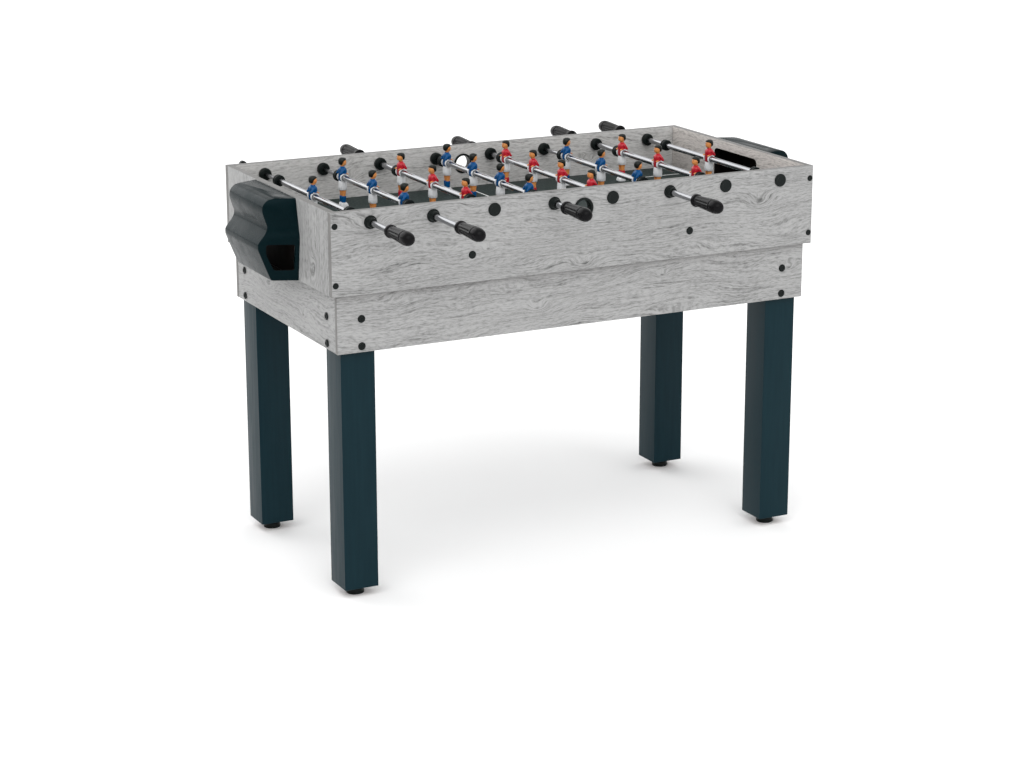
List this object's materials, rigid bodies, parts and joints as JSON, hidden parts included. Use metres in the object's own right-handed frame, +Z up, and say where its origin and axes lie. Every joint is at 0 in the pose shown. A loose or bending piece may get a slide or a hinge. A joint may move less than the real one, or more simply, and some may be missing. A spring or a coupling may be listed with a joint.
{
  "type": "foosball table",
  "caption": "Table football game: telescopic player rods with moulded men over a dark field, in an oak-look cabinet with ball-return boxes on square legs.",
  "frame": {"origin": "on the floor, under the centre of the table", "axes": "+X along the table from the left goal to the right goal, +Y across it along the rods towards the far side, +Z up"},
  "size_m": [1.3424, 1.063, 0.8735],
  "materials": {
    "oak_board": "printed grey oak laminate, satin",
    "field_board": "dark green-grey printed playing surface, satin",
    "leg_board": "dark blue-green laminate, satin",
    "return_plastic": "dark slate moulded plastic, satin",
    "black_plastic": "black moulded plastic, satin",
    "rod_steel": "polished plated steel tube",
    "blue_plastic": "painted moulded plastic figure, blue shirt",
    "red_plastic": "painted moulded plastic figure, red shirt"
  },
  "bodies": {
    "cabinet": {"side_panel_near": "oak_board", "side_panel_far": "oak_board", "end_panel_left": "oak_board", "end_panel_right": "oak_board", "playfield": "field_board", "apron_frame": "oak_board", "leg_near_left": "leg_board", "leg_near_right": "leg_board", "leg_far_left": "leg_board", "leg_far_right": "leg_board", "ball_return_left": "return_plastic", "ball_return_right": "return_plastic", "serve_cup_near": "black_plastic", "serve_cup_far": "black_plastic"},
    "rod_1_core": {"inner_rod_1": "rod_steel"},
    "rod_1_unit": {"rod_1": "rod_steel", "handle_1": "black_plastic", "blue_goalkeeper": "blue_plastic"},
    "rod_2_core": {"inner_rod_2": "rod_steel"},
    "rod_2_unit": {"rod_2": "rod_steel", "handle_2": "black_plastic", "blue_defender_1": "blue_plastic", "blue_defender_2": "blue_plastic", "blue_defender_3": "blue_plastic"},
    "rod_3_core": {"inner_rod_3": "rod_steel"},
    "rod_3_unit": {"rod_3": "rod_steel", "handle_3": "black_plastic", "red_attacker_1": "red_plastic", "red_attacker_2": "red_plastic", "red_attacker_3": "red_plastic"},
    "rod_4_core": {"inner_rod_4": "rod_steel"},
    "rod_4_unit": {"rod_4": "rod_steel", "handle_4": "black_plastic", "blue_midfielder_1": "blue_plastic", "blue_midfielder_2": "blue_plastic", "blue_midfielder_3": "blue_plastic", "blue_midfielder_4": "blue_plastic"},
    "rod_5_core": {"inner_rod_5": "rod_steel"},
    "rod_5_unit": {"rod_5": "rod_steel", "handle_5": "black_plastic", "red_midfielder_1": "red_plastic", "red_midfielder_2": "red_plastic", "red_midfielder_3": "red_plastic", "red_midfielder_4": "red_plastic"},
    "rod_6_core": {"inner_rod_6": "rod_steel"},
    "rod_6_unit": {"rod_6": "rod_steel", "handle_6": "black_plastic", "blue_attacker_1": "blue_plastic", "blue_attacker_2": "blue_plastic", "blue_attacker_3": "blue_plastic"},
    "rod_7_core": {"inner_rod_7": "rod_steel"},
    "rod_7_unit": {"rod_7": "rod_steel", "handle_7": "black_plastic", "red_defender_1": "red_plastic", "red_defender_2": "red_plastic", "red_defender_3": "red_plastic"},
    "rod_8_core": {"inner_rod_8": "rod_steel"},
    "rod_8_unit": {"rod_8": "rod_steel", "handle_8": "black_plastic", "red_goalkeeper": "red_plastic"}
  },
  "joints": [
    {"name": "rod_1_spin", "type": "hinge", "parent": "cabinet", "child": "rod_1_core", "pos_m": [-0.50155, 0, 0.8285], "axis": [0, 1, 0], "continuous": true},
    {"name": "rod_1_slide", "type": "slide", "parent": "rod_1_core", "child": "rod_1_unit", "axis": [0, 1, 0], "range_m": [-0.0755, 0.0695]},
    {"name": "rod_2_spin", "type": "hinge", "parent": "cabinet", "child": "rod_2_core", "pos_m": [-0.35825, 0, 0.8285], "axis": [0, 1, 0], "continuous": true},
    {"name": "rod_2_slide", "type": "slide", "parent": "rod_2_core", "child": "rod_2_unit", "axis": [0, 1, 0], "range_m": [-0.0897, 0.0767]},
    {"name": "rod_3_spin", "type": "hinge", "parent": "cabinet", "child": "rod_3_core", "pos_m": [-0.21495, 0, 0.8285], "axis": [0, 1, 0], "continuous": true},
    {"name": "rod_3_slide", "type": "slide", "parent": "rod_3_core", "child": "rod_3_unit", "axis": [0, 1, 0], "range_m": [-0.0825, 0.0817]},
    {"name": "rod_4_spin", "type": "hinge", "parent": "cabinet", "child": "rod_4_core", "pos_m": [-0.07165, 0, 0.8285], "axis": [0, 1, 0], "continuous": true},
    {"name": "rod_4_slide", "type": "slide", "parent": "rod_4_core", "child": "rod_4_unit", "axis": [0, 1, 0], "range_m": [-0.0638, 0.0238]},
    {"name": "rod_5_spin", "type": "hinge", "parent": "cabinet", "child": "rod_5_core", "pos_m": [0.07165, 0, 0.8285], "axis": [0, 1, 0], "continuous": true},
    {"name": "rod_5_slide", "type": "slide", "parent": "rod_5_core", "child": "rod_5_unit", "axis": [0, 1, 0], "range_m": [-0.0423, 0.0453]},
    {"name": "rod_6_spin", "type": "hinge", "parent": "cabinet", "child": "rod_6_core", "pos_m": [0.21495, 0, 0.8285], "axis": [0, 1, 0], "continuous": true},
    {"name": "rod_6_slide", "type": "slide", "parent": "rod_6_core", "child": "rod_6_unit", "axis": [0, 1, 0], "range_m": [-0.0872, 0.0792]},
    {"name": "rod_7_spin", "type": "hinge", "parent": "cabinet", "child": "rod_7_core", "pos_m": [0.35825, 0, 0.8285], "axis": [0, 1, 0], "continuous": true},
    {"name": "rod_7_slide", "type": "slide", "parent": "rod_7_core", "child": "rod_7_unit", "axis": [0, 1, 0], "range_m": [-0.0742, 0.0922]},
    {"name": "rod_8_spin", "type": "hinge", "parent": "cabinet", "child": "rod_8_core", "pos_m": [0.50155, 0, 0.8285], "axis": [0, 1, 0], "continuous": true},
    {"name": "rod_8_slide", "type": "slide", "parent": "rod_8_core", "child": "rod_8_unit", "axis": [0, 1, 0], "range_m": [-0.0705, 0.0745]}
  ]
}
